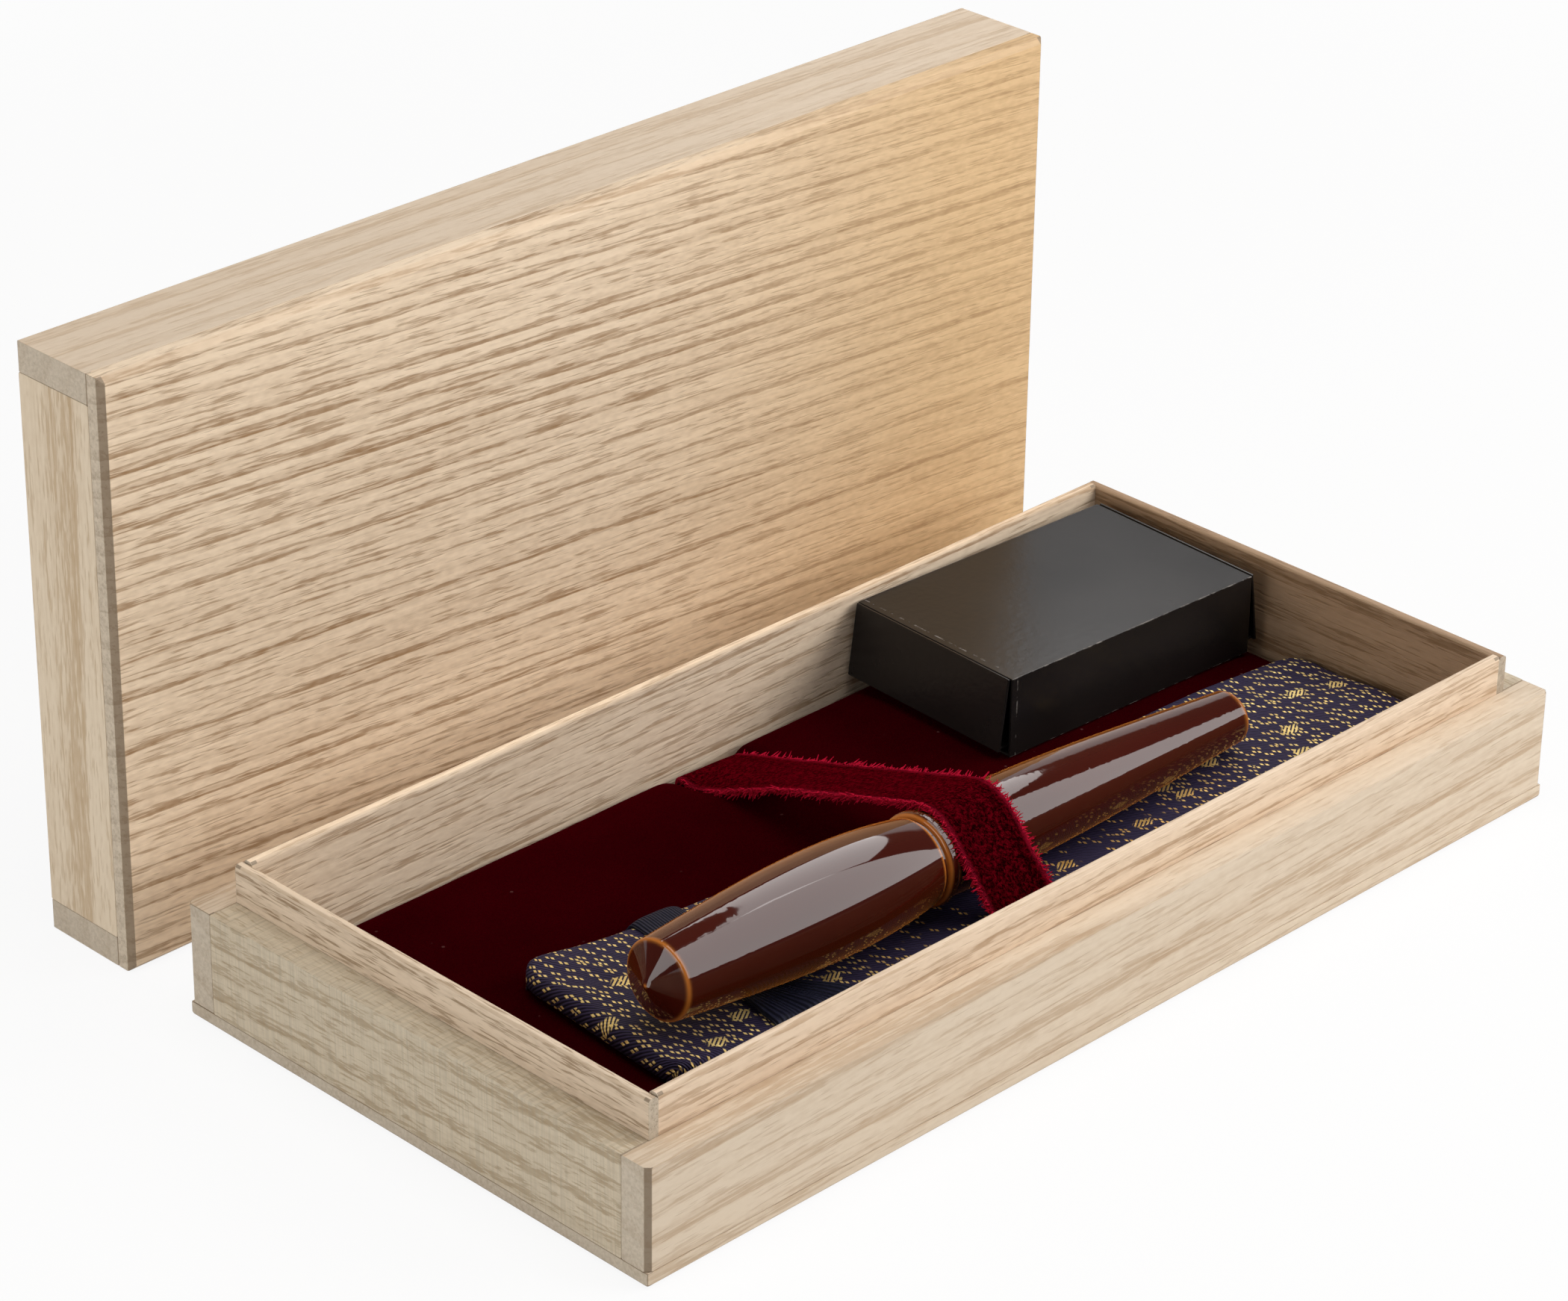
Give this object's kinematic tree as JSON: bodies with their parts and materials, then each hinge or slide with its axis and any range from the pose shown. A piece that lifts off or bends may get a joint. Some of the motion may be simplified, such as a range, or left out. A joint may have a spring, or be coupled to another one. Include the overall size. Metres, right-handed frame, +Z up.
{
  "type": "fountain pen case",
  "caption": "Wooden presentation case with a lift-off lid stood behind it; its velvet bed and strap hold a capped lacquer fountain pen over a brocade pouch, beside an ink carton.",
  "frame": {"origin": "middle of the underside of the tray's bottom panel, on the surface that the tray and the stood lid share", "axes": "+X along the case from the cap's end to the barrel's end, +Y from the tray's front to the lid behind it, +Z up"},
  "size_m": [0.2288, 0.1525, 0.113],
  "materials": {
    "paulownia": "bare, planed, open grain",
    "bed_card": "plain board",
    "bed_velvet": "dark burgundy velvet",
    "ribbon_velvet": "red velvet ribbon",
    "brocade": "navy ribbed weave with gold flecks",
    "corded_band": "navy corded weave",
    "lacquer": "polished clear red-brown lacquer",
    "black_plastic": "matt black",
    "nib_metal": "polished gold colour",
    "cartridge_plastic": "clear plastic over dark ink",
    "ball_steel": "polished",
    "carton_card": "black, semi-gloss, pale worn edges"
  },
  "bodies": {
    "tray": {"tray_bottom_panel": "paulownia", "tray_front_wall": "paulownia", "tray_back_wall": "paulownia", "tray_left_wall": "paulownia", "tray_right_wall": "paulownia", "tray_front_lip": "paulownia", "tray_back_lip": "paulownia", "tray_left_lip": "paulownia", "tray_right_lip": "paulownia", "bed_board": "bed_card", "velvet_bed": "bed_velvet", "velvet_ribbon": "ribbon_velvet"},
    "lid": {"lid_top_panel": "paulownia", "lid_front_wall": "paulownia", "lid_back_wall": "paulownia", "lid_left_wall": "paulownia", "lid_right_wall": "paulownia"},
    "pen": {"pen_barrel": "lacquer"},
    "section": {"grip_section": "lacquer", "nib_feed": "black_plastic", "nib": "nib_metal", "pen_cartridge": "cartridge_plastic"},
    "cap": {"pen_cap": "lacquer", "cap_liner": "black_plastic"},
    "pouch": {"pouch_body": "brocade", "pouch_tie_band": "corded_band"},
    "carton": {"carton_sleeve": "carton_card", "ink_cartridges": "cartridge_plastic", "cartridge_balls": "ball_steel"},
    "left_flap": {"carton_left_flap": "carton_card"},
    "right_flap": {"carton_right_flap": "carton_card"}
  },
  "joints": [
    {"name": "lid_lift", "type": "slide", "parent": "tray", "child": "lid", "axis": [0, 0, 1], "range_m": [0, 0.12]},
    {"name": "pen_lift", "type": "slide", "parent": "tray", "child": "pen", "axis": [0, 0, 1], "range_m": [0, 0.02], "deforming": ["velvet_ribbon"]},
    {"name": "section_unscrew", "type": "hinge", "parent": "pen", "child": "section", "pos_m": [-0.0791, -0.0222, 0.02687], "axis": [-0.9989, -0.0141, 0.0436], "range_deg": [0, 720]},
    {"name": "cap_draw", "type": "slide", "parent": "section", "child": "cap", "axis": [-0.9989, -0.0141, 0.0436], "range_m": [0, 0.022]},
    {"name": "pouch_slide", "type": "slide", "parent": "tray", "child": "pouch", "axis": [-0.9968, 0.0802, 0], "range_m": [0, 0.019]},
    {"name": "carton_lift", "type": "slide", "parent": "tray", "child": "carton", "axis": [0, 0, 1], "range_m": [0, 0.06]},
    {"name": "left_flap_fold", "type": "hinge", "parent": "carton", "child": "left_flap", "pos_m": [0.03831, 0.02737, 0.0283], "axis": [0.0471, 0.9989, 0], "range_deg": [-7, 120]},
    {"name": "right_flap_fold", "type": "hinge", "parent": "carton", "child": "right_flap", "pos_m": [0.10164, 0.02439, 0.0283], "axis": [-0.0471, -0.9989, 0], "range_deg": [-7, 0]}
  ]
}
